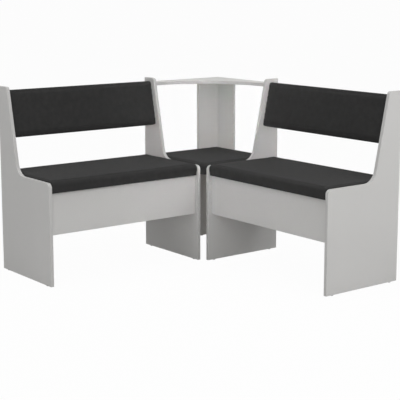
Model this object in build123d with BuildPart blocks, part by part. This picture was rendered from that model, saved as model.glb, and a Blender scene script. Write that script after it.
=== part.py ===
from build123d import *
from math import atan2, cos, sin
import os

# Corner bench in millimetres, +Z up, origin on the floor under the middle of its square outline.
# The back corner is at -X +Y. The right bench runs along +X, the left bench along -Y.

# Boards and plan
board = 16.0
edge_round = 1.0
bench_clear = 790.0

# End panels: depths are from the wall, heights from the floor
panel_height = 850.0
panel_depth = 432.0
arm_height = 460.0
upright_top_depth = 74.0
upright_foot_depth = 156.0
crown_radius = 16.0
crook_radius = 62.0
nose_radius = 21.0

# Storage chest under each seat
apron_set_back = 23.0
apron_bottom = 226.0
chest_back_depth = 62.0
chest_batten = 18.0
chest_batten_inset = 12.0
chest_screw_spread = 110.0
floor_fit = 0.4

# Seats: an upholstered board, the cover drawn in under the edges
seat_underside = 414.0
seat_thickness = 51.0
seat_crown = 4.0
seat_end_crown = 2.0
seat_rear_depth = 16.0
seat_set_back = 1.0
seat_side_gap = 1.5
seat_nose_radius = 16.0
seat_rear_radius = 8.0
seat_draw_in = 5.0
cover_wrap = 6.0
cushion_end_round = 9.0
cushion_end_tuck = 2.0
cushion_shoulder = 3.0
cushion_shoulder_tuck = 0.6
cushion_fit = 0.2
cushion_lift = 0.3

# Backrests, parallel to the sloping edge of the end panels
backrest_set_in = 22.0
backrest_drop = 13.0
backrest_height = 217.0
backrest_padding = 24.0
backrest_crown = 4.0
backrest_end_crown = 2.0
backrest_edge_radius = 8.0
backrest_side_gap = 1.0

# Corner unit: the inner end panels stand apart by the gap, measured along each wall
corner_gap = 20.0
corner_board_width = 140.0
shelf_drop = 22.0
shelf_end_depth = 66.0
shelf_middle_depth = 170.0
corner_seat_gap = 2.0
corner_nose_radius = 40.0
corner_edge_radius = 16.0
corner_shoulder = 5.0
corner_crown_inset = 110.0
corner_batten_width = 36.0
corner_batten_height = 18.0
corner_batten_start = 60.0
corner_batten_gap = 36.0
corner_rear_batten_length = 80.0

# Butt hinges of the seat lids
hinge_spread = 480.0
hinge_width = 60.0
hinge_leaf = 28.0
leaf_thickness = 1.5
knuckle_radius = 3.0
knuckle_width = 18.0
knuckle_gap = 0.4
hinge_clearance = 0.3
pin_radius = 1.5
running_clearance = 0.05
hinge_screw_length = 12.0
hinge_screw_reach = 16.0
hinge_screw_spread = 20.0

# Cam fittings, dowels, screws and glides
cam_radius = 7.5
cam_depth = 12.5
cam_reach = 24.0
cam_inset = 37.0
cam_slot_length = 9.0
cam_slot_width = 1.6
cam_slot_depth = 2.0
cam_mouth_clearance = 0.2
bolt_radius = 2.5
bolt_sink = 11.0
bolt_shank_radius = 3.0
bolt_head_radius = 3.5
bolt_head_length = 4.0
bolt_bore_radius = 4.0
dowel_radius = 4.0
dowel_sink = 12.0
dowel_hold = 20.0
shelf_dowel_spread = 40.0
corner_dowel_spread = 56.0
screw_radius = 2.0
screw_head_radius = 3.6
screw_head_height = 1.4
screw_bite = 12.0
corner_screw_spread = 120.0
rear_screw_spread = 50.0
seat_screw_spread = 200.0
seat_screw_inset = 24.0
joining_screw_radius = 2.5
joining_screw_length = 50.0
joining_head_radius = 4.5
joining_head_sink = 3.0
joining_screw_inset = 110.0
glide_height = 3.0
glide_radius = 7.0
glide_nail_radius = 1.2
glide_nail_length = 14.0
glide_inset = 40.0
corner_glide_inset = 25.0
bore_clearance = 0.05

# Worked out from the sizes above
corner_clear = panel_depth + corner_gap
side_length = corner_clear + bench_clear + 2 * board
half_side = side_length / 2
bench_middle = corner_clear + board + bench_clear / 2
apron_front = panel_depth - apron_set_back
apron_back = apron_front - board
apron_height = seat_underside - apron_bottom
chest_front_face = chest_back_depth + board
chest_middle = (chest_front_face + apron_back) / 2
chest_batten_length = apron_back - chest_front_face - 2 * chest_batten_inset
seat_front = panel_depth - seat_set_back
seat_top = seat_underside + seat_thickness
cushion_underside = seat_underside + cushion_lift
hinge_depth = chest_back_depth - knuckle_radius - hinge_clearance
hinge_height = seat_underside - knuckle_radius - hinge_clearance
shelf_underside = panel_height - shelf_drop - board
backrest_top = panel_height - backrest_drop
corner_batten_end = corner_clear - corner_batten_width - corner_batten_gap

# Local frames: x along the piece's wall, y away from the wall, z up
left_bench = Plane(origin=(-half_side, half_side - bench_middle, 0), x_dir=(0, -1, 0), z_dir=(0, 0, 1))
right_bench = Plane(origin=(bench_middle - half_side, half_side, 0), x_dir=(-1, 0, 0), z_dir=(0, 0, 1))
corner = Plane(origin=(-half_side, half_side, 0), x_dir=(0, -1, 0), z_dir=(0, 0, 1))
diagonal = Plane(origin=(0, 0, 0), z_dir=(1, 1, 0))


def across(base, x):
    """Upright plane across a bench: sketch x is depth, sketch y is height, normal along the bench."""
    return Plane(origin=base.from_local_coords((x, 0, 0)), x_dir=base.y_dir, z_dir=base.x_dir)


def rail_frame(base, depth, height, tilt, cams_forward):
    """Middle plane of a board between end panels, from its lower edge up, facing the side with the cams."""
    facing = 1 if cams_forward else -1
    forward = base.y_dir * cos(tilt) + base.z_dir * sin(tilt)
    start = base.from_local_coords((0, depth, height))
    return Plane(origin=start, x_dir=base.x_dir * -facing, z_dir=forward * facing)


def rail_ends(frame, height):
    """The two end faces of a rail, each facing its panel, with sketch y towards the cam side."""
    ends = []
    for sign in (-1, 1):
        middle = frame.from_local_coords((sign * bench_clear / 2, height / 2, 0))
        ends.append(Plane(origin=middle, x_dir=frame.y_dir * sign, z_dir=frame.x_dir * sign))
    return ends


def rods(planes, spots, radius, start, end):
    """Round rods square to the planes, from one distance along their normals to another."""
    with BuildPart() as group:
        with BuildSketch(*[plane.offset(start) for plane in planes]):
            with Locations(*spots):
                Circle(radius)
        extrude(amount=end - start)
    return group.part


def cam_faces(ends):
    """Board faces that the cams are sunk in: sketch y runs from the end face into the board."""
    faces = []
    for end in ends:
        middle = end.from_local_coords((0, board / 2, 0))
        faces.append(Plane(origin=middle, x_dir=end.x_dir, z_dir=end.y_dir))
    return faces


def cam_bodies(ends, places):
    """Eccentric cams with a cross recess and a side mouth for the bolt's head."""
    faces = cam_faces(ends)
    spots = [(place, cam_reach) for place in places]
    mouth_spots = [(place, 0) for place in places]
    mouth_radius = bolt_head_radius + cam_mouth_clearance
    mouths = rods(ends, mouth_spots, mouth_radius, -cam_reach - bolt_head_length, 0)
    with BuildPart() as cams:
        with BuildSketch(*faces):
            with Locations(*spots):
                Circle(cam_radius)
        extrude(amount=-cam_depth)
        with BuildSketch(*faces):
            with Locations(*spots):
                Rectangle(cam_slot_length, cam_slot_width)
                Rectangle(cam_slot_width, cam_slot_length)
        extrude(amount=-cam_slot_depth, mode=Mode.SUBTRACT)
        add(mouths, mode=Mode.SUBTRACT)
    return cams.part


def cam_bolts(ends, places):
    """Bolts screwed into the panel, with a shank across to the cam and a head inside it."""
    spots = [(place, 0) for place in places]
    neck = cam_reach - bolt_head_length / 2
    stages = [
        rods(ends, spots, bolt_radius, 0, bolt_sink),
        rods(ends, spots, bolt_shank_radius, -neck, 0),
        rods(ends, spots, bolt_head_radius, -neck - bolt_head_length, -neck),
    ]
    with BuildPart() as bolts:
        add(stages)
    return bolts.part


def board_bores(ends, cam_places, dowel_places):
    """What a board loses to its cams, bolts and dowels."""
    cam_spots = [(place, cam_reach) for place in cam_places]
    bolt_spots = [(place, 0) for place in cam_places]
    dowel_spots = [(place, 0) for place in dowel_places]
    tools = [
        rods(cam_faces(ends), cam_spots, cam_radius + bore_clearance, -cam_depth - bore_clearance, 0),
        rods(ends, bolt_spots, bolt_bore_radius, -cam_reach, 0),
        rods(ends, dowel_spots, dowel_radius + bore_clearance, -dowel_hold - bore_clearance, 0),
    ]
    with BuildPart() as bores:
        add(tools)
    return bores.part


def panel_bores(ends, cam_places, dowel_places):
    """What the end panels lose to the bolts and dowels of a board."""
    bolt_spots = [(place, 0) for place in cam_places]
    dowel_spots = [(place, 0) for place in dowel_places]
    tools = [
        rods(ends, bolt_spots, bolt_radius + bore_clearance, 0, bolt_sink + bore_clearance),
        rods(ends, dowel_spots, dowel_radius + bore_clearance, 0, dowel_sink + bore_clearance),
    ]
    with BuildPart() as bores:
        add(tools)
    return bores.part


def dowel_pins(ends, places):
    """Wooden dowels across the joint between a board's ends and what they meet."""
    return rods(ends, [(place, 0) for place in places], dowel_radius, -dowel_hold, dowel_sink)


def screws(planes, spots, length):
    """Round-headed screws driven against the planes' normals, heads seated on the planes."""
    stages = [
        rods(planes, spots, screw_radius, -length, 0),
        rods(planes, spots, screw_head_radius, 0, screw_head_height),
    ]
    with BuildPart() as group:
        add(stages)
    return group.part


def screw_bores(planes, spots, length):
    """Bores that the screws run in."""
    return rods(planes, spots, screw_radius + bore_clearance, -length - bore_clearance, 0)


def glides(planes, spots):
    """Nail-on glides under a lower edge: a disc that meets the floor and a nail up into the board."""
    stages = [
        rods(planes, spots, glide_radius, 0, glide_height),
        rods(planes, spots, glide_nail_radius, glide_height, glide_height + glide_nail_length),
    ]
    with BuildPart() as group:
        add(stages)
    return group.part


def glide_bores(planes, spots):
    """Nail holes for the glides."""
    top = glide_height + glide_nail_length + bore_clearance
    return rods(planes, spots, glide_nail_radius + bore_clearance, glide_height, top)


def rail(frame, height, bores):
    """A board between the end panels of a bench, less the bores of its fittings."""
    with BuildPart() as piece:
        with BuildSketch(frame.offset(-board / 2)):
            with Locations((0, height / 2)):
                Rectangle(bench_clear, height)
        extrude(amount=board)
        fillet(piece.edges().filter_by(Axis(frame.origin, frame.x_dir)), edge_round)
        add(bores, mode=Mode.SUBTRACT)
    return piece.part


def end_panel(base, x, bores):
    """An end panel across a bench from x on: level arm with a nose, crook and sloping upright."""
    with BuildPart() as panel:
        with BuildSketch(across(base, x)) as profile:
            with BuildLine():
                Polyline(
                    (0, glide_height),
                    (panel_depth, glide_height),
                    (panel_depth, arm_height),
                    (upright_foot_depth, arm_height),
                    (upright_top_depth, panel_height),
                    (0, panel_height),
                    close=True,
                )
            make_face()
            fillet(profile.vertices().sort_by_distance((panel_depth, arm_height))[0], nose_radius)
            fillet(profile.vertices().sort_by_distance((upright_foot_depth, arm_height))[0], crook_radius)
            fillet(profile.vertices().sort_by_distance((upright_top_depth, panel_height))[0], crown_radius)
        extrude(amount=board)
        fillet(panel.faces().filter_by(Axis(base.origin, base.x_dir)).edges(), edge_round)
        add(bores, mode=Mode.SUBTRACT)
    return panel.part


def save(piece, name):
    """Labels a finished piece and writes it."""
    piece.label = name
    export_step(piece, f"parts/{name}.step")


os.makedirs("parts", exist_ok=True)

# Backrest tilt and lower edge, from the sloping edge of the end panels
tilt = atan2(upright_foot_depth - upright_top_depth, panel_height - arm_height)
rest_rise = (backrest_top - arm_height + backrest_set_in * sin(tilt)) / cos(tilt) - backrest_height
rest_rear_set_in = backrest_set_in + backrest_padding + board
rest_board_height = backrest_height - 2 * cover_wrap


def on_backrest(set_in, rise):
    """Depth and height of a point by its distance behind the sloping edge and its rise along it."""
    depth = upright_foot_depth - set_in * cos(tilt) - rise * sin(tilt)
    height = arm_height - set_in * sin(tilt) + rise * cos(tilt)
    return depth, height


# Joints of the corner shelf with the two inner end panels, one cam and two dowels each
shelf_level = shelf_underside + board / 2
shelf_ends = [
    Plane(
        origin=corner.from_local_coords((corner_clear, shelf_end_depth / 2, shelf_level)),
        x_dir=corner.y_dir * -1,
        z_dir=corner.x_dir,
    ),
    Plane(
        origin=corner.from_local_coords((shelf_end_depth / 2, corner_clear, shelf_level)),
        x_dir=corner.x_dir,
        z_dir=corner.y_dir,
    ),
]
shelf_cam_places = [0]
shelf_dowel_places = [-shelf_dowel_spread / 2, shelf_dowel_spread / 2]
shelf_panel_bores = panel_bores(shelf_ends, shelf_cam_places, shelf_dowel_places)

# Battens that carry the corner seat, and their screws: one side is made, the other is its mirror image
corner_batten_underside = seat_underside - corner_batten_height
corner_batten_level = seat_underside - corner_batten_height / 2
corner_batten_middle = (corner_batten_start + corner_batten_end) / 2
corner_screw_length = corner_batten_width + screw_bite
panel_batten_spot = (corner_clear - corner_batten_width, corner_batten_middle, corner_batten_level)
panel_batten_face = Plane(
    origin=corner.from_local_coords(panel_batten_spot),
    x_dir=corner.y_dir * -1,
    z_dir=corner.x_dir * -1,
)
panel_batten_spots = [(-corner_screw_spread, 0), (0, 0), (corner_screw_spread, 0)]
rear_batten_middle = corner_board_width - corner_rear_batten_length / 2
rear_batten_face = Plane(
    origin=corner.from_local_coords((rear_batten_middle, board + corner_batten_width, corner_batten_level)),
    x_dir=corner.x_dir * -1,
    z_dir=corner.y_dir,
)
rear_batten_spots = [(-rear_screw_spread / 2, 0), (rear_screw_spread / 2, 0)]
seat_screw_spot = (corner_clear - seat_screw_inset, corner_batten_middle, corner_batten_underside)
seat_screw_plane = Plane(
    origin=corner.from_local_coords(seat_screw_spot),
    x_dir=corner.y_dir,
    z_dir=(0, 0, -1),
)
seat_screw_spots = [(-seat_screw_spread / 2, 0), (seat_screw_spread / 2, 0)]
seat_screw_length = corner_batten_height + screw_bite
batten_bore_set = [
    screw_bores([panel_batten_face], panel_batten_spots, corner_screw_length),
    screw_bores([rear_batten_face], rear_batten_spots, corner_screw_length),
]
with BuildPart() as batten_bores:
    add(batten_bore_set)
    mirror(about=diagonal)
seat_bore_set = screw_bores([seat_screw_plane], seat_screw_spots, seat_screw_length)
with BuildPart() as seat_bores:
    add(seat_bore_set)
    mirror(about=diagonal)

for side, bench, inner_sign in (("left", left_bench, -1), ("right", right_bench, 1)):
    # The three boards that tie the end panels together, and the fittings in their ends
    rest_depth, rest_height = on_backrest(rest_rear_set_in - board / 2, rest_rise + cover_wrap)
    apron_frame = rail_frame(bench, apron_front - board / 2, apron_bottom, 0, False)
    chest_back_frame = rail_frame(bench, chest_back_depth + board / 2, apron_bottom, 0, True)
    rest_frame = rail_frame(bench, rest_depth, rest_height, tilt, False)
    rails = [
        ("apron", apron_frame, apron_height),
        ("chest_back", chest_back_frame, apron_height),
        ("backrest_board", rest_frame, rest_board_height),
    ]
    joints = []
    for name, frame, height in rails:
        cam_places = [cam_inset - height / 2, height / 2 - cam_inset]
        joints.append((name, frame, height, rail_ends(frame, height), cam_places, [0]))

    # Storage chest battens and their screws
    batten_top = apron_bottom + chest_batten
    batten_faces = []
    for sign in (-1, 1):
        batten_end = sign * (bench_clear / 2 - chest_batten)
        batten_middle = (batten_end, chest_middle, batten_top - chest_batten / 2)
        batten_faces.append(
            Plane(
                origin=bench.from_local_coords(batten_middle),
                x_dir=bench.y_dir * -sign,
                z_dir=bench.x_dir * -sign,
            )
        )
    chest_screw_spots = [(-chest_screw_spread, 0), (0, 0), (chest_screw_spread, 0)]
    chest_screw_length = chest_batten + screw_bite
    chest_bores = screw_bores(batten_faces, chest_screw_spots, chest_screw_length)

    # Hinge leaves: the fixed ones on the chest back's rear face, the moving ones under the lid
    hinge_middles = [-hinge_spread / 2, hinge_spread / 2]
    fixed_faces = []
    moving_faces = []
    for middle in hinge_middles:
        fixed_spot = (middle, chest_back_depth - leaf_thickness, hinge_height)
        moving_spot = (middle, hinge_depth, seat_underside - leaf_thickness)
        fixed_faces.append(
            Plane(
                origin=bench.from_local_coords(fixed_spot),
                x_dir=bench.x_dir,
                z_dir=bench.y_dir * -1,
            )
        )
        moving_faces.append(
            Plane(origin=bench.from_local_coords(moving_spot), x_dir=bench.x_dir, z_dir=(0, 0, -1))
        )
    fixed_spots = [(spread, -hinge_screw_reach) for spread in (-hinge_screw_spread, 0, hinge_screw_spread)]
    moving_spots = [(spread, hinge_screw_reach) for spread in (-hinge_screw_spread, 0, hinge_screw_spread)]
    fixed_bores = screw_bores(fixed_faces, fixed_spots, hinge_screw_length)
    moving_bores = screw_bores(moving_faces, moving_spots, hinge_screw_length)

    # Glides under the two end panels
    panel_starts = {-1: -bench_clear / 2 - board, 1: bench_clear / 2}
    glide_spots = []
    for start in panel_starts.values():
        glide_spots.append((start + board / 2, glide_inset))
        glide_spots.append((start + board / 2, panel_depth - glide_inset))
    nail_bores = glide_bores([bench], glide_spots)

    # End panels
    for panel_name, sign in (("inner", inner_sign), ("outer", -inner_sign)):
        cuts = [chest_bores, nail_bores]
        cuts += [panel_bores(ends, cams, dowels) for _, _, _, ends, cams, dowels in joints]
        if panel_name == "inner":
            cuts += [shelf_panel_bores, batten_bores.part]
        save(end_panel(bench, panel_starts[sign], cuts), f"{side}_{panel_name}_end_panel")
    save(glides([bench], glide_spots), f"{side}_glides")

    # Apron, chest back and backrest board
    for name, frame, height, ends, cams, dowels in joints:
        cuts = [board_bores(ends, cams, dowels)]
        if name == "chest_back":
            cuts.append(fixed_bores)
        save(rail(frame, height, cuts), f"{side}_{name}")

    # Cams, bolts and dowels of this bench
    cam_sets = [cam_bodies(ends, cams) for _, _, _, ends, cams, _ in joints]
    with BuildPart() as bench_cams:
        add(cam_sets)
    save(bench_cams.part, f"{side}_cams")
    bolt_sets = [cam_bolts(ends, cams) for _, _, _, ends, cams, _ in joints]
    with BuildPart() as bench_bolts:
        add(bolt_sets)
    save(bench_bolts.part, f"{side}_cam_bolts")
    dowel_sets = [dowel_pins(ends, dowels) for _, _, _, ends, _, dowels in joints]
    with BuildPart() as bench_dowels:
        add(dowel_sets)
    save(bench_dowels.part, f"{side}_dowels")

    # Chest floor on its two battens
    with BuildPart() as chest_floor:
        with BuildSketch(bench.offset(batten_top)):
            with Locations((0, chest_middle)):
                Rectangle(bench_clear - 2 * floor_fit, apron_back - chest_front_face - 2 * floor_fit)
        extrude(amount=board)
    save(chest_floor.part, f"{side}_chest_floor")
    with BuildPart() as chest_battens:
        with BuildSketch(*batten_faces):
            Rectangle(chest_batten_length, chest_batten)
        extrude(amount=-chest_batten)
        add(chest_bores, mode=Mode.SUBTRACT)
    save(chest_battens.part, f"{side}_chest_battens")
    save(screws(batten_faces, chest_screw_spots, chest_screw_length), f"{side}_chest_batten_screws")

    # Seat lid: a board, and the padding with its cover over the top and round the edges
    seat_half = bench_clear / 2 - seat_side_gap
    board_rear = seat_rear_depth + seat_draw_in + cover_wrap
    board_front = seat_front - seat_draw_in - cover_wrap
    with BuildPart() as seat_board:
        with BuildSketch(bench.offset(seat_underside)):
            with Locations((0, (board_rear + board_front) / 2)):
                Rectangle(2 * (seat_half - cover_wrap), board_front - board_rear)
        extrude(amount=board)
        add(moving_bores, mode=Mode.SUBTRACT)
    save(seat_board.part, f"{side}_seat_board")

    seat_stations = [
        (-seat_half, cushion_end_tuck, seat_end_crown),
        (-seat_half + cushion_shoulder, cushion_shoulder_tuck, seat_end_crown),
        (-seat_half + cushion_end_round, 0, seat_end_crown),
        (0, 0, seat_crown),
        (seat_half - cushion_end_round, 0, seat_end_crown),
        (seat_half - cushion_shoulder, cushion_shoulder_tuck, seat_end_crown),
        (seat_half, cushion_end_tuck, seat_end_crown),
    ]
    with BuildPart() as seat_cushion:
        for x, tuck, crown in seat_stations:
            rear = seat_rear_depth + tuck
            front = seat_front - tuck
            top = seat_top - tuck
            with BuildSketch(across(bench, x)):
                with BuildLine():
                    Polyline(
                        (rear, top - seat_rear_radius),
                        (rear + seat_draw_in, cushion_underside),
                        (front - seat_draw_in, cushion_underside),
                        (front, top - seat_nose_radius),
                    )
                    RadiusArc(
                        (front, top - seat_nose_radius),
                        (front - seat_nose_radius, top),
                        -seat_nose_radius,
                    )
                    ThreePointArc(
                        (front - seat_nose_radius, top),
                        ((front + rear) / 2, top + crown),
                        (rear + seat_rear_radius, top),
                    )
                    RadiusArc(
                        (rear + seat_rear_radius, top),
                        (rear, top - seat_rear_radius),
                        -seat_rear_radius,
                    )
                make_face()
        loft(ruled=True)
        with BuildSketch(bench.offset(seat_underside)):
            with Locations((0, (board_rear + board_front) / 2)):
                Rectangle(
                    2 * (seat_half - cover_wrap + cushion_fit),
                    board_front - board_rear + 2 * cushion_fit,
                )
        extrude(amount=board, mode=Mode.SUBTRACT)
    save(seat_cushion.part, f"{side}_seat_cushion")

    # Hinges of the lid
    hinge_starts = [across(bench, middle - hinge_width / 2) for middle in hinge_middles]
    tab = knuckle_radius + knuckle_gap
    plate = hinge_leaf - tab
    far_knuckle = hinge_width - knuckle_width
    middle_start = knuckle_width + knuckle_gap
    with BuildPart() as fixed_leaves:
        with BuildSketch(*hinge_starts):
            with Locations((chest_back_depth - leaf_thickness / 2, hinge_height - tab - plate / 2)):
                Rectangle(leaf_thickness, plate)
        extrude(amount=hinge_width)
        for offset in (0, far_knuckle):
            with BuildSketch(*[start.offset(offset) for start in hinge_starts]):
                with Locations((chest_back_depth - leaf_thickness / 2, hinge_height - tab / 2)):
                    Rectangle(leaf_thickness, tab)
                with Locations((hinge_depth, hinge_height)):
                    Circle(knuckle_radius)
                    Circle(pin_radius + running_clearance, mode=Mode.SUBTRACT)
            extrude(amount=knuckle_width)
        add(fixed_bores, mode=Mode.SUBTRACT)
    save(fixed_leaves.part, f"{side}_hinge_fixed_leaves")
    with BuildPart() as moving_leaves:
        with BuildSketch(*hinge_starts):
            with Locations((hinge_depth - tab - plate / 2, seat_underside - leaf_thickness / 2)):
                Rectangle(plate, leaf_thickness)
        extrude(amount=hinge_width)
        with BuildSketch(*[start.offset(middle_start) for start in hinge_starts]):
            with Locations((hinge_depth - tab / 2, seat_underside - leaf_thickness / 2)):
                Rectangle(tab, leaf_thickness)
            with Locations((hinge_depth, hinge_height)):
                Circle(knuckle_radius)
                Circle(pin_radius + running_clearance, mode=Mode.SUBTRACT)
        extrude(amount=hinge_width - 2 * middle_start)
        add(moving_bores, mode=Mode.SUBTRACT)
    save(moving_leaves.part, f"{side}_hinge_moving_leaves")
    pin_spots = [(hinge_depth, hinge_height)]
    save(rods(hinge_starts, pin_spots, pin_radius, 0, hinge_width), f"{side}_hinge_pins")
    save(screws(fixed_faces, fixed_spots, hinge_screw_length), f"{side}_hinge_fixed_screws")
    save(screws(moving_faces, moving_spots, hinge_screw_length), f"{side}_hinge_moving_screws")

    # Backrest cushion: padding and cover over the front and round the long edges of its board
    rest_half = bench_clear / 2 - backrest_side_gap
    rest_stations = [
        (-rest_half, cushion_end_tuck, backrest_end_crown),
        (-rest_half + cushion_shoulder, cushion_shoulder_tuck, backrest_end_crown),
        (-rest_half + cushion_end_round, 0, backrest_end_crown),
        (0, 0, backrest_crown),
        (rest_half - cushion_end_round, 0, backrest_end_crown),
        (rest_half - cushion_shoulder, cushion_shoulder_tuck, backrest_end_crown),
        (rest_half, cushion_end_tuck, backrest_end_crown),
    ]
    rest_foot = on_backrest(rest_rear_set_in, rest_rise)
    with BuildPart() as backrest_cushion:
        for x, tuck, crown in rest_stations:
            face = board + backrest_padding - tuck
            low = tuck
            high = backrest_height - tuck
            section_plane = Plane(
                origin=bench.from_local_coords((x, *rest_foot)),
                x_dir=bench.y_dir * cos(tilt) + bench.z_dir * sin(tilt),
                z_dir=bench.x_dir,
            )
            with BuildSketch(section_plane):
                with BuildLine():
                    Polyline(
                        (face - backrest_edge_radius, high),
                        (0, high),
                        (0, low),
                        (face - backrest_edge_radius, low),
                    )
                    RadiusArc(
                        (face - backrest_edge_radius, low),
                        (face, low + backrest_edge_radius),
                        -backrest_edge_radius,
                    )
                    ThreePointArc(
                        (face, low + backrest_edge_radius),
                        (face + crown, (low + high) / 2),
                        (face, high - backrest_edge_radius),
                    )
                    RadiusArc(
                        (face, high - backrest_edge_radius),
                        (face - backrest_edge_radius, high),
                        -backrest_edge_radius,
                    )
                make_face()
        loft(ruled=True)
        with BuildSketch(rest_frame.offset(-board / 2)):
            with Locations((0, rest_board_height / 2)):
                Rectangle(bench_clear, rest_board_height + 2 * cushion_fit)
        extrude(amount=board, mode=Mode.SUBTRACT)
    save(backrest_cushion.part, f"{side}_backrest_cushion")

# Corner boards: the right one takes the corner, the left one butts against it
joining_plane = Plane(
    origin=corner.from_local_coords((0, board / 2, 0)),
    x_dir=(0, 0, 1),
    z_dir=corner.x_dir * -1,
)
joining_heights = (joining_screw_inset, shelf_underside / 2, shelf_underside - joining_screw_inset)
joining_spots = [(height, 0) for height in joining_heights]
shank_radius = joining_screw_radius + bore_clearance
joining_bore_set = [
    rods([joining_plane], joining_spots, shank_radius, -joining_screw_length - bore_clearance, 0),
    rods([joining_plane], joining_spots, joining_head_radius + bore_clearance, -joining_head_sink, 0),
]
with BuildPart() as joining_bores:
    add(joining_bore_set)
joining_screw_set = [
    rods([joining_plane], joining_spots, joining_screw_radius, -joining_screw_length, -joining_head_sink),
    rods([joining_plane], joining_spots, joining_head_radius, -joining_head_sink, -bore_clearance),
]
with BuildPart() as joining_screws:
    add(joining_screw_set)
save(joining_screws.part, "corner_joining_screws")

# Dowels from the top edges of the corner boards up into the shelf
corner_board_middle = (board + corner_board_width) / 2
top_dowel_spots = []
for step in (-corner_dowel_spread / 2, corner_dowel_spread / 2):
    top_dowel_spots.append((board / 2, corner_board_middle + step))
    top_dowel_spots.append((corner_board_middle + step, board / 2))
board_tops = [corner.offset(shelf_underside)]
top_dowels = rods(board_tops, top_dowel_spots, dowel_radius, -dowel_hold, dowel_sink)
top_dowel_bores = rods(
    board_tops,
    top_dowel_spots,
    dowel_radius + bore_clearance,
    -dowel_hold - bore_clearance,
    dowel_sink + bore_clearance,
)
corner_glide_spots = [
    (board / 2, board + corner_glide_inset),
    (board / 2, corner_board_width - corner_glide_inset),
    (board + corner_glide_inset, board / 2),
    (corner_board_width - corner_glide_inset, board / 2),
]
corner_nail_bores = glide_bores([corner], corner_glide_spots)
save(glides([corner], corner_glide_spots), "corner_glides")

corner_board_cuts = [joining_bores.part, top_dowel_bores, corner_nail_bores, batten_bores.part]
for name, start, length, depth in (
    ("right", (0, 0), board, corner_board_width),
    ("left", (board, 0), corner_board_width - board, board),
):
    with BuildPart() as corner_board:
        with BuildSketch(corner.offset(glide_height)):
            with Locations(start):
                Rectangle(length, depth, align=(Align.MIN, Align.MIN))
        extrude(amount=shelf_underside - glide_height)
        add(corner_board_cuts, mode=Mode.SUBTRACT)
    save(corner_board.part, f"corner_board_{name}")

# Corner shelf with a hollow front edge
with BuildPart() as corner_shelf:
    with BuildSketch(corner.offset(shelf_underside)):
        with BuildLine():
            Polyline(
                (corner_clear, shelf_end_depth),
                (corner_clear, 0),
                (0, 0),
                (0, corner_clear),
                (shelf_end_depth, corner_clear),
            )
            ThreePointArc(
                (shelf_end_depth, corner_clear),
                (shelf_middle_depth, shelf_middle_depth),
                (corner_clear, shelf_end_depth),
            )
        make_face()
    extrude(amount=board)
    front_edges = corner_shelf.edges().filter_by(GeomType.CIRCLE)
    fillet(front_edges, edge_round)
    add(board_bores(shelf_ends, shelf_cam_places, shelf_dowel_places), mode=Mode.SUBTRACT)
    add(top_dowel_bores, mode=Mode.SUBTRACT)
save(corner_shelf.part, "corner_shelf")
save(cam_bodies(shelf_ends, shelf_cam_places), "shelf_cams")
save(cam_bolts(shelf_ends, shelf_cam_places), "shelf_cam_bolts")
shelf_end_dowels = dowel_pins(shelf_ends, shelf_dowel_places)
with BuildPart() as shelf_dowels:
    add([shelf_end_dowels, top_dowels])
save(shelf_dowels.part, "shelf_dowels")

# Battens under the corner seat
with BuildPart() as corner_panel_battens:
    with BuildSketch(panel_batten_face):
        Rectangle(corner_batten_end - corner_batten_start, corner_batten_height)
    extrude(amount=-corner_batten_width)
    mirror(about=diagonal)
    add([batten_bores.part, seat_bores.part], mode=Mode.SUBTRACT)
save(corner_panel_battens.part, "corner_panel_battens")
with BuildPart() as corner_rear_battens:
    with BuildSketch(rear_batten_face):
        Rectangle(corner_rear_batten_length, corner_batten_height)
    extrude(amount=-corner_batten_width)
    mirror(about=diagonal)
    add(batten_bores.part, mode=Mode.SUBTRACT)
save(corner_rear_battens.part, "corner_rear_battens")
batten_screw_set = [
    screws([panel_batten_face], panel_batten_spots, corner_screw_length),
    screws([rear_batten_face], rear_batten_spots, corner_screw_length),
]
with BuildPart() as corner_batten_screws:
    add(batten_screw_set)
    mirror(about=diagonal)
save(corner_batten_screws.part, "corner_batten_screws")
seat_screw_set = screws([seat_screw_plane], seat_screw_spots, seat_screw_length)
with BuildPart() as corner_seat_screws:
    add(seat_screw_set)
    mirror(about=diagonal)
save(corner_seat_screws.part, "corner_seat_screws")

# Corner seat: a board with one rounded front corner, and its padding and cover
corner_rear = board + corner_seat_gap
corner_far = corner_clear - seat_side_gap


def corner_outline(height, inset):
    """Plan of the corner seat at a height, set in from its sides, with its front corner rounded."""
    low = corner_rear + inset
    high = corner_far - inset
    with BuildSketch(corner.offset(height)) as outline:
        with BuildLine():
            Polyline(
                (high - corner_nose_radius, high),
                (low, high),
                (low, low),
                (high, low),
                (high, high - corner_nose_radius),
            )
            RadiusArc(
                (high, high - corner_nose_radius),
                (high - corner_nose_radius, high),
                -corner_nose_radius,
            )
        make_face()
    return outline.sketch


board_inset = seat_draw_in + cover_wrap
board_plan = corner_outline(seat_underside, board_inset)
with BuildPart() as corner_seat_board:
    extrude(board_plan, amount=board)
    add(seat_bores.part, mode=Mode.SUBTRACT)
save(corner_seat_board.part, "corner_seat_board")

cushion_plans = [
    corner_outline(cushion_underside, seat_draw_in),
    corner_outline(seat_top - corner_edge_radius, 0),
    corner_outline(seat_top - corner_shoulder, corner_shoulder),
    corner_outline(seat_top, corner_edge_radius),
    corner_outline(seat_top + seat_crown, corner_crown_inset),
]
pocket_plan = corner_outline(seat_underside, board_inset - cushion_fit)
with BuildPart() as corner_seat_cushion:
    loft(cushion_plans, ruled=True)
    extrude(pocket_plan, amount=board, mode=Mode.SUBTRACT)
save(corner_seat_cushion.part, "corner_seat_cushion")
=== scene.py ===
import bmesh
import bpy
import math
from mathutils import Matrix, Vector


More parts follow.
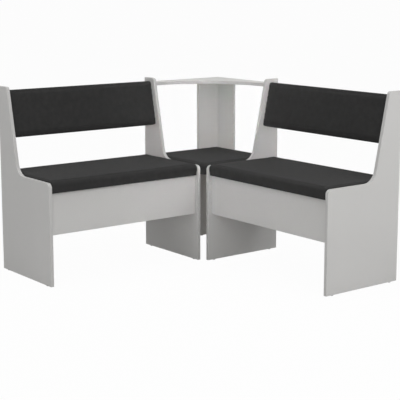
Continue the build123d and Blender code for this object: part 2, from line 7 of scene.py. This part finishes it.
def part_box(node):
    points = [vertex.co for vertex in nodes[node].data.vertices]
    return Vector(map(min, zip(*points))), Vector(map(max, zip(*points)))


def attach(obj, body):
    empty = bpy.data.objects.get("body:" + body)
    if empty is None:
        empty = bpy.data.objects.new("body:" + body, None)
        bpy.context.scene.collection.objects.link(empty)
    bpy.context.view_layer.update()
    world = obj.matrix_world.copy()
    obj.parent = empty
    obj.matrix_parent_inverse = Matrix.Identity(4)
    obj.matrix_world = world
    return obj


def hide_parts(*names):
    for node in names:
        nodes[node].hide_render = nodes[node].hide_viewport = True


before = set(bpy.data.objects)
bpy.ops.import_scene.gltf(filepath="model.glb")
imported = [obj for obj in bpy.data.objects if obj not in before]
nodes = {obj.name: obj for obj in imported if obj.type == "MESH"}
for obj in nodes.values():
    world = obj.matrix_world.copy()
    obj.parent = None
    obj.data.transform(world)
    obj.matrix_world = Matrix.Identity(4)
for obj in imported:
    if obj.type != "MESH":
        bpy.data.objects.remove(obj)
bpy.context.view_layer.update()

scene = bpy.context.scene
scene.view_settings.view_transform = "Standard"


# The viewpoint: a long lens at standing eye height, in front of the open side of the corner,
# looking along the diagonal and slightly down, so that both benches show their seats and ends.
camera_place = (3.9445, -3.0249, 1.3040)
camera_turn = math.radians(52.162)
camera_dip = math.radians(9.682)
lens = bpy.data.cameras.new("viewpoint")
lens.sensor_width = 36
lens.lens = 101.14
lens.shift_x = -0.0065
lens.shift_y = -0.06
lens.clip_end = 500
viewpoint = bpy.data.objects.new("viewpoint", lens)
viewpoint.location = camera_place
viewpoint.rotation_euler = (math.pi / 2 - camera_dip, 0, camera_turn)
scene.collection.objects.link(viewpoint)
scene.camera = viewpoint


# The room: a pale matt floor that fades into a white backdrop. Only what the eye and mirror-like
# surfaces meet is lifted to white; the light that falls on the bench keeps its own plain level.
floor_half = 150
floor_shape = bmesh.new()
bmesh.ops.create_grid(floor_shape, x_segments=1, y_segments=1, size=floor_half)
floor_mesh = bpy.data.meshes.new("floor")
floor_shape.to_mesh(floor_mesh)
floor_shape.free()
floor = bpy.data.objects.new("floor", floor_mesh)
scene.collection.objects.link(floor)


def seen_directly(tree):
    """One where a ray comes from the eye, a mirror or glass, and zero for light on other things."""
    path = tree.nodes.new("ShaderNodeLightPath")
    total = path.outputs["Is Camera Ray"]
    for other in ("Is Glossy Ray", "Is Transmission Ray"):
        both = tree.nodes.new("ShaderNodeMath")
        both.operation = "MAXIMUM"
        tree.links.new(total, both.inputs[0])
        tree.links.new(path.outputs[other], both.inputs[1])
        total = both.outputs[0]
    return total


floor_lift = 0.97
floor_grey = (0.66, 0.66, 0.66, 1)
floor_paint = bpy.data.materials.new("pale_floor")
floor_paint.use_nodes = True
tree = floor_paint.node_tree
tree.nodes.clear()
lit = tree.nodes.new("ShaderNodeBsdfDiffuse")
lit.inputs["Color"].default_value = floor_grey
white = tree.nodes.new("ShaderNodeEmission")
white.inputs["Strength"].default_value = 1
lift = tree.nodes.new("ShaderNodeMath")
lift.operation = "MULTIPLY"
lift.inputs[1].default_value = floor_lift
tree.links.new(seen_directly(tree), lift.inputs[0])
blend = tree.nodes.new("ShaderNodeMixShader")
tree.links.new(lift.outputs[0], blend.inputs["Fac"])
tree.links.new(lit.outputs[0], blend.inputs[1])
tree.links.new(white.outputs[0], blend.inputs[2])
surface = tree.nodes.new("ShaderNodeOutputMaterial")
tree.links.new(blend.outputs[0], surface.inputs["Surface"])
floor_mesh.materials.append(floor_paint)

room_level = 0.26
room = bpy.data.worlds.new("studio")
room.use_nodes = True
scene.world = room
tree = room.node_tree
tree.nodes.clear()
backdrop = tree.nodes.new("ShaderNodeBackground")
backdrop.inputs["Color"].default_value = (1, 1, 1, 1)
backdrop.inputs["Strength"].default_value = 1
soft = tree.nodes.new("ShaderNodeBackground")
soft.inputs["Color"].default_value = (1, 1, 1, 1)
soft.inputs["Strength"].default_value = room_level
choose = tree.nodes.new("ShaderNodeMixShader")
tree.links.new(seen_directly(tree), choose.inputs["Fac"])
tree.links.new(soft.outputs[0], choose.inputs[1])
tree.links.new(backdrop.outputs[0], choose.inputs[2])
surface = tree.nodes.new("ShaderNodeOutputWorld")
tree.links.new(choose.outputs[0], surface.inputs["Surface"])


# Studio lamps: broad soft boxes above, in front and at both ends of the bench, and a small one with
# a grid that reaches into the corner under the shelf.
def soft_lamp(name, place, aim, size, watts, fan=180):
    """A square lamp that faces the point it is aimed at; the fan is the angle its light spreads over."""
    light = bpy.data.lights.new(name, "AREA")
    light.shape = "SQUARE"
    light.size = size
    light.energy = watts
    light.spread = math.radians(fan)
    lamp = bpy.data.objects.new(name, light)
    lamp.location = place
    lamp.rotation_euler = (Vector(aim) - Vector(place)).to_track_quat("-Z", "Y").to_euler()
    lamp.visible_camera = False
    scene.collection.objects.link(lamp)


soft_lamp("ceiling_lamp", (0.2, -0.2, 4.2), (0, 0, 0.4), 3.4, 64)
soft_lamp("front_lamp", (3.6, -2.7, 2.3), (0, 0, 0.4), 2.8, 60)
soft_lamp("left_lamp", (-0.8, -2.7, 1.9), (-0.4, -0.6, 0.4), 1.6, 11)
soft_lamp("right_lamp", (2.7, 1.1, 1.9), (0.6, 0.4, 0.4), 1.6, 27)
soft_lamp("corner_lamp", (3.3, -3.0, 1.25), (-0.50, 0.55, 0.66), 0.7, 0.75, 10)


# End panels, aprons, chest backs and floors, corner boards and shelf: 16 mm chipboard with a matt light
# grey melamine facing. A plastic band is glued on each edge, with a hairline glue joint; the band is painted
# a shade darker than the facing, partly its own colour and partly painted shade for edges that face away
# from the lamps.
board_grey = (0.600, 0.594, 0.582)
# painted shade: the band grey is darker than the facing partly as the band's own colour and partly as
# painted shade on the edge faces
band_grey_with_painted_shade = (0.530, 0.525, 0.515)
glue_grey = (0.430, 0.424, 0.412)
band_half = 0.0072
glue_width = 0.0003


def link_math(tree, operation, first, second=None, third=None):
    """A math node on sockets or numbers; gives its output."""
    step = tree.nodes.new("ShaderNodeMath")
    step.operation = operation
    for slot, value in enumerate((first, second, third)):
        if value is None:
            continue
        if isinstance(value, (int, float)):
            step.inputs[slot].default_value = value
        else:
            tree.links.new(value, step.inputs[slot])
    return step.outputs[0]


def link_mix(tree, share, first, second):
    """Colours or sockets blended by a share."""
    mix = tree.nodes.new("ShaderNodeMix")
    mix.data_type = "RGBA"
    tree.links.new(share, mix.inputs["Factor"])
    for name, value in (("A", first), ("B", second)):
        socket = [s for s in mix.inputs if s.name == name and s.type == "RGBA"][0]
        if isinstance(value, tuple):
            socket.default_value = (*value, 1)
        else:
            tree.links.new(value, socket)
    return [s for s in mix.outputs if s.type == "RGBA"][0]


def link_noise(tree, place, scale, detail=3.0):
    """Noise at a number of blotches to the metre."""
    noise = tree.nodes.new("ShaderNodeTexNoise")
    noise.inputs["Scale"].default_value = scale
    noise.inputs["Detail"].default_value = detail
    tree.links.new(place, noise.inputs["Vector"])
    return noise.outputs["Fac"]


def link_span(tree, value, low, high, start=0.0, end=1.0):
    """A value brought from one span to another and held at its ends."""
    span = tree.nodes.new("ShaderNodeMapRange")
    tree.links.new(value, span.inputs["Value"])
    for name, number in (("From Min", low), ("From Max", high), ("To Min", start), ("To Max", end)):
        span.inputs[name].default_value = number
    return span.outputs["Result"]


def link_bump(tree, shader, height, strength, distance):
    """Fine relief on a shader."""
    bump = tree.nodes.new("ShaderNodeBump")
    bump.inputs["Strength"].default_value = strength
    bump.inputs["Distance"].default_value = distance
    tree.links.new(height, bump.inputs["Height"])
    tree.links.new(bump.outputs["Normal"], shader.inputs["Normal"])


def new_finish(name):
    """An empty material with its shader and the piece's own coordinates."""
    finish = bpy.data.materials.new(name)
    finish.use_nodes = True
    tree = finish.node_tree
    shader = tree.nodes["Principled BSDF"]
    place = tree.nodes.new("ShaderNodeTexCoord").outputs["Object"]
    return finish, tree, shader, place


def shade(colour, share):
    """A colour made darker or lighter by a share."""
    return tuple(c * share for c in colour)


def melamine(name, axis, middle):
    """Grey facing for a board whose thickness runs along an axis about a middle plane."""
    finish, tree, shader, place = new_finish(name)
    split = tree.nodes.new("ShaderNodeSeparateXYZ")
    tree.links.new(place, split.inputs[0])
    off_middle = link_math(tree, "ABSOLUTE", link_math(tree, "SUBTRACT", split.outputs[axis], middle))
    band_with_painted_shade_mask = link_span(tree, off_middle, band_half, band_half + glue_width, 1, 0)
    off_joint = link_math(tree, "ABSOLUTE", link_math(tree, "SUBTRACT", off_middle, band_half + glue_width))
    glue_line = link_span(tree, off_joint, 0, glue_width, 0.7, 0)
    cloud = link_noise(tree, place, 2.6)
    speck = link_noise(tree, place, 620, 2)
    tone = link_mix(tree, link_span(tree, cloud, 0.35, 0.65), board_grey, shade(board_grey, 0.965))
    tone = link_mix(tree, link_span(tree, speck, 0.40, 0.70, 0, 0.22), tone, shade(board_grey, 0.80))
    # the edge band colour, which also carries painted shade on the edge faces
    tone = link_mix(tree, band_with_painted_shade_mask, tone, band_grey_with_painted_shade)
    tone = link_mix(tree, glue_line, tone, glue_grey)
    tree.links.new(tone, shader.inputs["Base Color"])
    rough = link_span(tree, link_noise(tree, place, 45), 0.3, 0.7, 0.50, 0.60)
    tree.links.new(rough, shader.inputs["Roughness"])
    shader.inputs["Specular IOR Level"].default_value = 0.32
    link_bump(tree, shader, link_noise(tree, place, 1500, 2), 0.10, 0.0002)
    return finish


def give(node, finish):
    """A CAD piece takes a finish in place of its plain one."""
    mesh = nodes[node].data
    mesh.materials.clear()
    mesh.materials.append(finish)


def across_board(node, axis):
    """The middle plane of a flat board along an axis."""
    low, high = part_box(node)
    return (low[axis] + high[axis]) / 2


along_bench = {"left": 1, "right": 0}
across_bench = {"left": 0, "right": 1}
up = 2
faced = [("corner_board_left", 0), ("corner_board_right", 1), ("corner_shelf", up)]
for side in ("left", "right"):
    faced += [(f"{side}_{piece}", along_bench[side]) for piece in ("outer_end_panel", "inner_end_panel")]
    faced += [(f"{side}_{piece}", across_bench[side]) for piece in ("apron", "chest_back")]
    faced += [(f"{side}_chest_floor", up)]
for node, axis in faced:
    give(node, melamine(f"faced_{node}", axis, across_board(node, axis)))


# Seat boards, backrest boards and the corner seat board: raw chipboard, pressed from wood chips with a
# finer, paler face. Padding is glued on one side of each and the cover is drawn round its edges.
chip_brown, chip_pale = (0.48, 0.34, 0.19), (0.62, 0.49, 0.31)
resin_dark, chip_dull = (0.27, 0.16, 0.075), (0.44, 0.33, 0.21)
chips_to_metre = 330


def chipboard(name):
    """Pressed chips: pale flakes of several browns with dark resin between them."""
    finish, tree, shader, place = new_finish(name)
    chips = tree.nodes.new("ShaderNodeTexVoronoi")
    chips.inputs["Scale"].default_value = chips_to_metre
    tree.links.new(place, chips.inputs["Vector"])
    pick = tree.nodes.new("ShaderNodeSeparateColor")
    tree.links.new(chips.outputs["Color"], pick.inputs[0])
    blotch = link_noise(tree, place, 9)
    tone = link_mix(tree, link_span(tree, pick.outputs[0], 0, 1), chip_brown, chip_pale)
    tone = link_mix(tree, link_span(tree, pick.outputs[1], 0.86, 0.90, 0, 0.8), tone, resin_dark)
    tone = link_mix(tree, link_span(tree, blotch, 0.35, 0.7, 0, 0.35), tone, chip_dull)
    tree.links.new(tone, shader.inputs["Base Color"])
    shader.inputs["Roughness"].default_value = 0.82
    link_bump(tree, shader, chips.outputs["Distance"], 0.25, 0.0006)
    return finish


raw_board = chipboard("raw_chipboard")
for node in ("left_seat_board", "right_seat_board", "left_backrest_board", "right_backrest_board",
             "corner_seat_board"):
    give(node, raw_board)


# Battens under the chest floors and the corner seat: planed softwood strips, screwed on from inside.
# Growth rings run along each strip as narrow darker lines.
pine_pale, pine_dark = (0.62, 0.43, 0.22), (0.47, 0.28, 0.12)
rings_across, rings_along = 150.0, 5.0


def grain(tree, place, axis):
    """Growth rings drawn out along an axis."""
    stretch = tree.nodes.new("ShaderNodeMapping")
    scale = [rings_across] * 3
    scale[axis] = rings_along
    stretch.inputs["Scale"].default_value = scale
    tree.links.new(place, stretch.inputs["Vector"])
    return link_noise(tree, stretch.outputs[0], 1.0, 4)


def softwood(name, axis, beyond):
    """Planed pine with its grain along one axis, and along another beyond the corner's diagonal."""
    finish, tree, shader, place = new_finish(name)
    ring = grain(tree, place, axis)
    if beyond != axis:
        split = tree.nodes.new("ShaderNodeSeparateXYZ")
        tree.links.new(place, split.inputs[0])
        past = link_math(tree, "GREATER_THAN", link_math(tree, "ADD", split.outputs[0], split.outputs[1]), 0)
        step = link_math(tree, "SUBTRACT", grain(tree, place, beyond), ring)
        ring = link_math(tree, "MULTIPLY_ADD", past, step, ring)
    tone = link_mix(tree, link_span(tree, ring, 0.35, 0.68), pine_pale, pine_dark)
    tree.links.new(tone, shader.inputs["Base Color"])
    tree.links.new(link_span(tree, ring, 0.3, 0.7, 0.5, 0.62), shader.inputs["Roughness"])
    link_bump(tree, shader, ring, 0.12, 0.0005)
    return finish


give("left_chest_battens", softwood("pine_left_chest", 0, 0))
give("right_chest_battens", softwood("pine_right_chest", 1, 1))
give("corner_panel_battens", softwood("pine_by_panels", 0, 1))
give("corner_rear_battens", softwood("pine_by_corner_boards", 1, 0))


# Hinges: two pressed steel butt hinges to a lid, zinc plated, with round-headed wood screws. Plating
# dulls them to a soft grey with faint rolling marks.
def plated_steel(name, grey, polish):
    """Zinc-plated steel with faint clouding."""
    finish, tree, shader, place = new_finish(name)
    cloud = link_noise(tree, place, 160, 4)
    tone = link_mix(tree, link_span(tree, cloud, 0.35, 0.68), grey, shade(grey, 0.78))
    tree.links.new(tone, shader.inputs["Base Color"])
    shader.inputs["Metallic"].default_value = 1.0
    tree.links.new(link_span(tree, cloud, 0.3, 0.7, polish, polish + 0.16), shader.inputs["Roughness"])
    link_bump(tree, shader, link_noise(tree, place, 900, 3), 0.08, 0.0002)
    return finish


hinge_plate = plated_steel("hinge_steel", (0.62, 0.62, 0.61), 0.32)
screw_steel = plated_steel("screw_steel", (0.58, 0.55, 0.47), 0.30)
for side in ("left", "right"):
    for piece in ("hinge_fixed_leaves", "hinge_moving_leaves", "hinge_pins"):
        give(f"{side}_{piece}", hinge_plate)
    for piece in ("chest_batten_screws", "hinge_fixed_screws", "hinge_moving_screws"):
        give(f"{side}_{piece}", screw_steel)
for node in ("corner_batten_screws", "corner_seat_screws", "corner_joining_screws"):
    give(node, screw_steel)


# Cam fittings and dowels: die-cast zinc cams turned tight on steel bolts, and grooved beech dowels,
# all hidden in the board ends except the cam faces inside the chests and behind the backrests.
cast_zinc = plated_steel("cast_zinc", (0.55, 0.56, 0.57), 0.42)
beech_pale, beech_fleck = (0.60, 0.40, 0.22), (0.42, 0.25, 0.12)


def beech(name):
    """Pale beech with short dark flecks."""
    finish, tree, shader, place = new_finish(name)
    fleck = link_noise(tree, place, 520, 4)
    tone = link_mix(tree, link_span(tree, fleck, 0.45, 0.7), beech_pale, beech_fleck)
    tree.links.new(tone, shader.inputs["Base Color"])
    shader.inputs["Roughness"].default_value = 0.6
    link_bump(tree, shader, fleck, 0.1, 0.0004)
    return finish


dowel_beech = beech("beech_dowel")
for place in ("left", "right", "shelf"):
    give(f"{place}_cams", cast_zinc)
    give(f"{place}_cam_bolts", cast_zinc)
    give(f"{place}_dowels", dowel_beech)


# Glides: small discs of moulded plastic, nailed under the end panels and the corner boards. They keep
# the banded edges off the floor and let the benches slide.
def moulded(name, grey):
    """Pale moulded plastic, slightly scuffed."""
    finish, tree, shader, place = new_finish(name)
    scuff = link_noise(tree, place, 240, 4)
    tone = link_mix(tree, link_span(tree, scuff, 0.5, 0.75), grey, shade(grey, 0.72))
    tree.links.new(tone, shader.inputs["Base Color"])
    tree.links.new(link_span(tree, scuff, 0.3, 0.7, 0.42, 0.6), shader.inputs["Roughness"])
    link_bump(tree, shader, scuff, 0.08, 0.0003)
    return finish


glide_plastic = moulded("glide_plastic", (0.50, 0.50, 0.49))
for node in ("left_glides", "right_glides", "corner_glides"):
    give(node, glide_plastic)


# Seat cushions: foam on a board under one piece of anthracite upholstery cloth, drawn down over a rounded
# front edge and stapled below. The top is slightly crowned and the sides pull in towards the board.
cloth_dark = (0.0310, 0.0307, 0.0304)
cloth_light = (0.0400, 0.0396, 0.0392)
thread = 0.0017


def upholstery(name, turn):
    """Fine plain-weave cloth, with the weave turned to follow a tilted piece."""
    finish, tree, shader, place = new_finish(name)
    follow = tree.nodes.new("ShaderNodeMapping")
    follow.inputs["Rotation"].default_value = turn
    tree.links.new(place, follow.inputs["Vector"])
    split = tree.nodes.new("ShaderNodeSeparateXYZ")
    tree.links.new(follow.outputs[0], split.inputs[0])
    waves = [link_math(tree, "SINE", link_math(tree, "MULTIPLY", split.outputs[i], 2 * math.pi / thread))
             for i in range(3)]
    over = [link_math(tree, "MULTIPLY", waves[i], waves[(i + 1) % 3]) for i in range(3)]
    weave = link_math(tree, "ADD", link_math(tree, "ADD", over[0], over[1]), over[2])
    fuzz = link_noise(tree, place, 1400, 3)
    mottle = link_noise(tree, place, 38, 4)
    tone = link_mix(tree, link_span(tree, mottle, 0.30, 0.72), cloth_dark, cloth_light)
    tone = link_mix(tree, link_span(tree, weave, -1.2, 1.2, 0.35, 0), tone, shade(cloth_dark, 0.5))
    tone = link_mix(tree, link_span(tree, fuzz, 0.5, 0.72, 0, 0.35), tone, shade(cloth_light, 1.7))
    tree.links.new(tone, shader.inputs["Base Color"])
    shader.inputs["Roughness"].default_value = 0.88
    shader.inputs["Specular IOR Level"].default_value = 0.1
    shader.inputs["Sheen Weight"].default_value = 0.02
    shader.inputs["Sheen Roughness"].default_value = 0.45
    relief = link_math(tree, "ADD", weave, link_math(tree, "MULTIPLY", fuzz, 1.5))
    link_bump(tree, shader, relief, 0.35, 0.0004)
    return finish


def metres(*values):
    """Millimetres as metres."""
    return Vector(values) / 1000


bench_frame = {
    "left": Matrix(((0, 1, 0, -0.637), (-1, 0, 0, -0.226), (0, 0, 1, 0), (0, 0, 0, 1))),
    "right": Matrix(((-1, 0, 0, 0.226), (0, -1, 0, 0.637), (0, 0, 1, 0), (0, 0, 0, 1))),
}


def block(low, high):
    """A closed box between two corners."""
    shape = bmesh.new()
    bmesh.ops.create_cube(shape, size=1)
    bmesh.ops.scale(shape, vec=high - low, verts=shape.verts)
    bmesh.ops.translate(shape, vec=(high + low) / 2, verts=shape.verts)
    return shape


def round_edges(shape, radius, steps, wanted):
    """Rounds the edges whose two ends both pass a test."""
    edges = [e for e in shape.edges if all(wanted(v.co) for v in e.verts)]
    bmesh.ops.bevel(shape, geom=edges, offset=radius, offset_type="OFFSET", segments=steps, profile=0.5,
                    affect="EDGES", material=-1, clamp_overlap=True)


def piece_from(shape, name):
    """An object at the origin with the shape as its mesh."""
    mesh = bpy.data.meshes.new(name)
    shape.to_mesh(mesh)
    shape.free()
    piece = bpy.data.objects.new(name, mesh)
    scene.collection.objects.link(piece)
    return piece


def settle(piece):
    """Replaces a piece's mesh by what its modifiers make of it, and clears them."""
    graph = bpy.context.evaluated_depsgraph_get()
    graph.update()
    made = bpy.data.meshes.new_from_object(piece.evaluated_get(graph))
    old = piece.data
    piece.modifiers.clear()
    piece.data = made
    bpy.data.meshes.remove(old)


voxel = 0.0058
swell_out = 0.0042
swell_in = 0.0005
swell_frames = 20
swell_pressure = 4
hem = 0.0004


def pad(shape, name, held, node, body, finish, cutters):
    """Foam under a cover: the shape swells like cloth under pressure, except where it is held to its board,
    is cut to leave the board and its hem, and stays in the space of its CAD node."""
    piece = piece_from(shape, name)
    remesh = piece.modifiers.new("even_cells", "REMESH")
    remesh.mode = "VOXEL"
    remesh.voxel_size = voxel
    settle(piece)
    start = [(v.co.copy(), v.normal.copy()) for v in piece.data.vertices]
    group = piece.vertex_groups.new(name="held")
    group.add([v.index for v in piece.data.vertices if held(v.co)], 1.0, "REPLACE")
    cloth = piece.modifiers.new("cover", "CLOTH")
    settings = cloth.settings
    settings.vertex_group_mass = "held"
    settings.quality = 6
    settings.mass = 0.3
    settings.tension_stiffness = 18
    settings.compression_stiffness = 18
    settings.shear_stiffness = 8
    settings.bending_stiffness = 1.5
    settings.use_pressure = True
    settings.uniform_pressure_force = swell_pressure
    settings.effector_weights.gravity = 0
    cloth.point_cache.frame_start = 1
    cloth.point_cache.frame_end = swell_frames
    for step in range(1, swell_frames + 1):
        scene.frame_set(step)
    settle(piece)
    piece.vertex_groups.clear()
    scene.frame_set(1)
    for vertex, (begin, facing) in zip(piece.data.vertices, start):
        swell = (vertex.co - begin).dot(facing)
        most = swell_out if swell > 0 else swell_in
        vertex.co = begin + facing * most * math.tanh(swell / most)
    smooth = piece.modifiers.new("smooth", "SUBSURF")
    smooth.levels = smooth.render_levels = 1
    tools = [piece_from(cutter, f"{name}_cut_{i}") for i, cutter in enumerate(cutters)]
    for tool in tools:
        cut = piece.modifiers.new(tool.name, "BOOLEAN")
        cut.operation = "DIFFERENCE"
        cut.solver = "EXACT"
        cut.object = tool
    settle(piece)
    for tool in tools:
        tool_mesh = tool.data
        bpy.data.objects.remove(tool)
        bpy.data.meshes.remove(tool_mesh)
    low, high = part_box(node)
    low.z -= hem
    for vertex in piece.data.vertices:
        vertex.co = [min(max(vertex.co[i], low[i]), high[i]) for i in range(3)]
    piece.data.shade_smooth()
    piece.data.materials.clear()
    piece.data.materials.append(finish)
    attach(piece, body)
    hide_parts(node)


def staple_rows(name, rows, place, body, finish):
    """Wire staples along straight rows on a hem: each row is a start, an end and the way up from the hem."""
    shape = bmesh.new()
    for first, last, lift in rows:
        run = last - first
        count = round(run.length / staple_step)
        along = run.normalized()
        for i in range(count):
            middle = first + run * ((i + 0.5) / count)
            crown = block(Vector((-staple_crown / 2, -staple_wire / 2, 0)),
                          Vector((staple_crown / 2, staple_wire / 2, staple_wire)))
            round_edges(crown, staple_wire * 0.3, 1, lambda p: p.z > staple_wire / 2)
            turn = Matrix((along, lift.cross(along), lift)).transposed().to_4x4()
            bmesh.ops.transform(crown, matrix=place @ Matrix.Translation(middle) @ turn, verts=crown.verts)
            made = bpy.data.meshes.new("staple")
            crown.to_mesh(made)
            crown.free()
            shape.from_mesh(made)
            bpy.data.meshes.remove(made)
    piece = piece_from(shape, name)
    piece.data.materials.append(finish)
    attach(piece, body)


def place_all(parts, matrix):
    """Moves shapes from a piece's own frame to its place in the row."""
    for part in parts:
        bmesh.ops.transform(part, matrix=matrix, verts=part.verts)


seat_cloth = upholstery("seat_cloth", (0, 0, 0))
seat_half, seat_rear, seat_front = 395.5, 16, 431
seat_foot, seat_top = 408.3, 465
seat_nose, seat_rear_round = 0.016, 0.008
seat_draw_in = 0.006
board_half, board_rear, board_front = 387.5, 27, 420
board_foot, board_top = 414, 430
board_slack = 0.2
cover_foot = 413.6
cover_held = 0.4200
seat_hem_width = 30
touch = 1e-5
staple_wire = 0.0009
staple_crown = 0.010
staple_step = 0.045
staple_half, staple_rear, staple_front, staple_level = 370, 46, 403, 413.9
staple_steel = plated_steel("staple_steel", (0.66, 0.66, 0.66), 0.28)
for side in ("left", "right"):
    low, high = metres(-seat_half, seat_rear, seat_foot), metres(seat_half, seat_front, seat_top)
    shape = block(low, high)
    near_top, front, rear = high.z - touch, high.y - touch, low.y + touch
    round_edges(shape, seat_nose, 8, lambda p: p.z > near_top and p.y > front)
    round_edges(shape, seat_rear_round, 6, lambda p: p.z > near_top and p.y < rear)
    for vertex in shape.verts:
        if vertex.co.z < low.z + touch:
            vertex.co.y += seat_draw_in if vertex.co.y < 0.2 else -seat_draw_in
    below = block(metres(-450, -30, 380), metres(450, 470, cover_foot))
    pocket = block(metres(-board_half - board_slack, board_rear - board_slack, board_foot),
                   metres(board_half + board_slack, board_front + board_slack, board_top + board_slack))
    opening = block(metres(-board_half + seat_hem_width, board_rear + seat_hem_width, 400),
                    metres(board_half - seat_hem_width, board_front - seat_hem_width, 416))
    place_all((shape, below, pocket, opening), bench_frame[side])
    pad(shape, f"{side}_seat_padding", lambda p: p.z < cover_held, f"{side}_seat_cushion", f"{side}_lid",
        seat_cloth, (below, pocket, opening))
    corners = [metres(x, y, staple_level)
               for x, y in ((staple_half, staple_rear), (staple_half, staple_front),
                            (-staple_half, staple_front), (-staple_half, staple_rear))]
    down = Vector((0, 0, -1))
    rows = [(corners[i], corners[i + 1], down) for i in range(3)]
    staple_rows(f"{side}_seat_staples", rows, bench_frame[side], f"{side}_lid", staple_steel)


# Backrest cushions: thinner padding on a tilted board, with the cover carried round the long edges to the
# back and stapled there in two hems. The face swells a little between its edges.
panel_top, arm_top = 850, 460
upright_foot, upright_head = 156, 74
rest_top, rest_set_in = 837, 22
rest_half, rest_height, rest_depth = 396, 217, 40
rest_round = 0.008
rest_board, rest_wrap = 16, 6
rest_hem_width, rest_staple_in = 27, 16
tilt = math.atan2(upright_foot - upright_head, panel_top - arm_top)
rest_rise = (rest_top - arm_top + rest_set_in * math.sin(tilt)) / math.cos(tilt) - rest_height
rest_back = rest_set_in + rest_depth
rest_foot = (upright_foot - rest_back * math.cos(tilt) - rest_rise * math.sin(tilt),
             arm_top - rest_back * math.sin(tilt) + rest_rise * math.cos(tilt))
rest_frame = Matrix.Translation(metres(0, *rest_foot)) @ Matrix.Rotation(tilt, 4, "X")
rest_turn = {"left": (0, tilt, 0), "right": (tilt, 0, 0)}
wrap_low, wrap_high = rest_wrap, rest_height - rest_wrap
for side in ("left", "right"):
    low, high = metres(-rest_half, -3, 0), metres(rest_half, rest_depth, rest_height)
    shape = block(low, high)
    front = high.y - touch
    round_edges(shape, rest_round, 6, lambda p: p.y > front and p.z > high.z - touch)
    round_edges(shape, rest_round, 6, lambda p: p.y > front and p.z < low.z + touch)
    behind = block(metres(-450, -40, -40), metres(450, -0.4, 260))
    pocket = block(metres(-400, 0, wrap_low - board_slack),
                   metres(400, rest_board + board_slack, wrap_high + board_slack))
    opening = block(metres(-400, -20, wrap_low + rest_hem_width), metres(400, 2, wrap_high - rest_hem_width))
    place = bench_frame[side] @ rest_frame
    place_all((shape, behind, pocket, opening), place)
    flat_back = place.inverted()
    pad(shape, f"{side}_backrest_padding", lambda p: (flat_back @ p).y < 0.004, f"{side}_backrest_cushion",
        "frame", upholstery(f"{side}_backrest_cloth", rest_turn[side]), (behind, pocket, opening))
    rows = [(metres(-360, -0.4, level), metres(360, -0.4, level), Vector((0, -1, 0)))
            for level in (wrap_low + rest_staple_in, wrap_high - rest_staple_in)]
    staple_rows(f"{side}_backrest_staples", rows, place, "frame", staple_steel)


# Corner seat cushion: a square pad with one rounded front corner, screwed down on battens between the two
# inner panels. Its edges are rounded all round, and its cover is turned under the board, onto the battens.
corner_frame = Matrix(((0, 1, 0, -0.637), (-1, 0, 0, 0.637), (0, 0, 1, 0), (0, 0, 0, 1)))
corner_rear, corner_front = 18, 450.5
corner_round, corner_edge = 0.040, 0.015
corner_board_rear, corner_board_front = 29, 439.5
low = metres(corner_rear, corner_rear, seat_foot)
high = metres(corner_front, corner_front, seat_top)
shape = block(low, high)
round_edges(shape, corner_round, 10, lambda p: p.x > high.x - touch and p.y > high.y - touch)
round_edges(shape, corner_edge, 7, lambda p: p.z > high.z - touch)
middle = (low + high) / 2
for vertex in shape.verts:
    if vertex.co.z < low.z + touch:
        off = Vector((vertex.co.x - middle.x, vertex.co.y - middle.y, 0))
        vertex.co -= off * seat_draw_in / 0.216
below = block(metres(-50, -50, 380), metres(500, 500, cover_foot))
near, far = corner_board_rear - board_slack, corner_board_front + board_slack
pocket = block(metres(near, near, board_foot), metres(far, far, board_top + board_slack))
round_edges(pocket, corner_round, 10, lambda p: p.x > 0.4396 and p.y > 0.4396)
near, far = corner_board_rear + seat_hem_width, corner_board_front - seat_hem_width
opening = block(metres(near, near, 400), metres(far, far, 416))
place_all((shape, below, pocket, opening), corner_frame)
pad(shape, "corner_seat_padding", lambda p: p.z < cover_held, "corner_seat_cushion", "frame", seat_cloth,
    (below, pocket, opening))
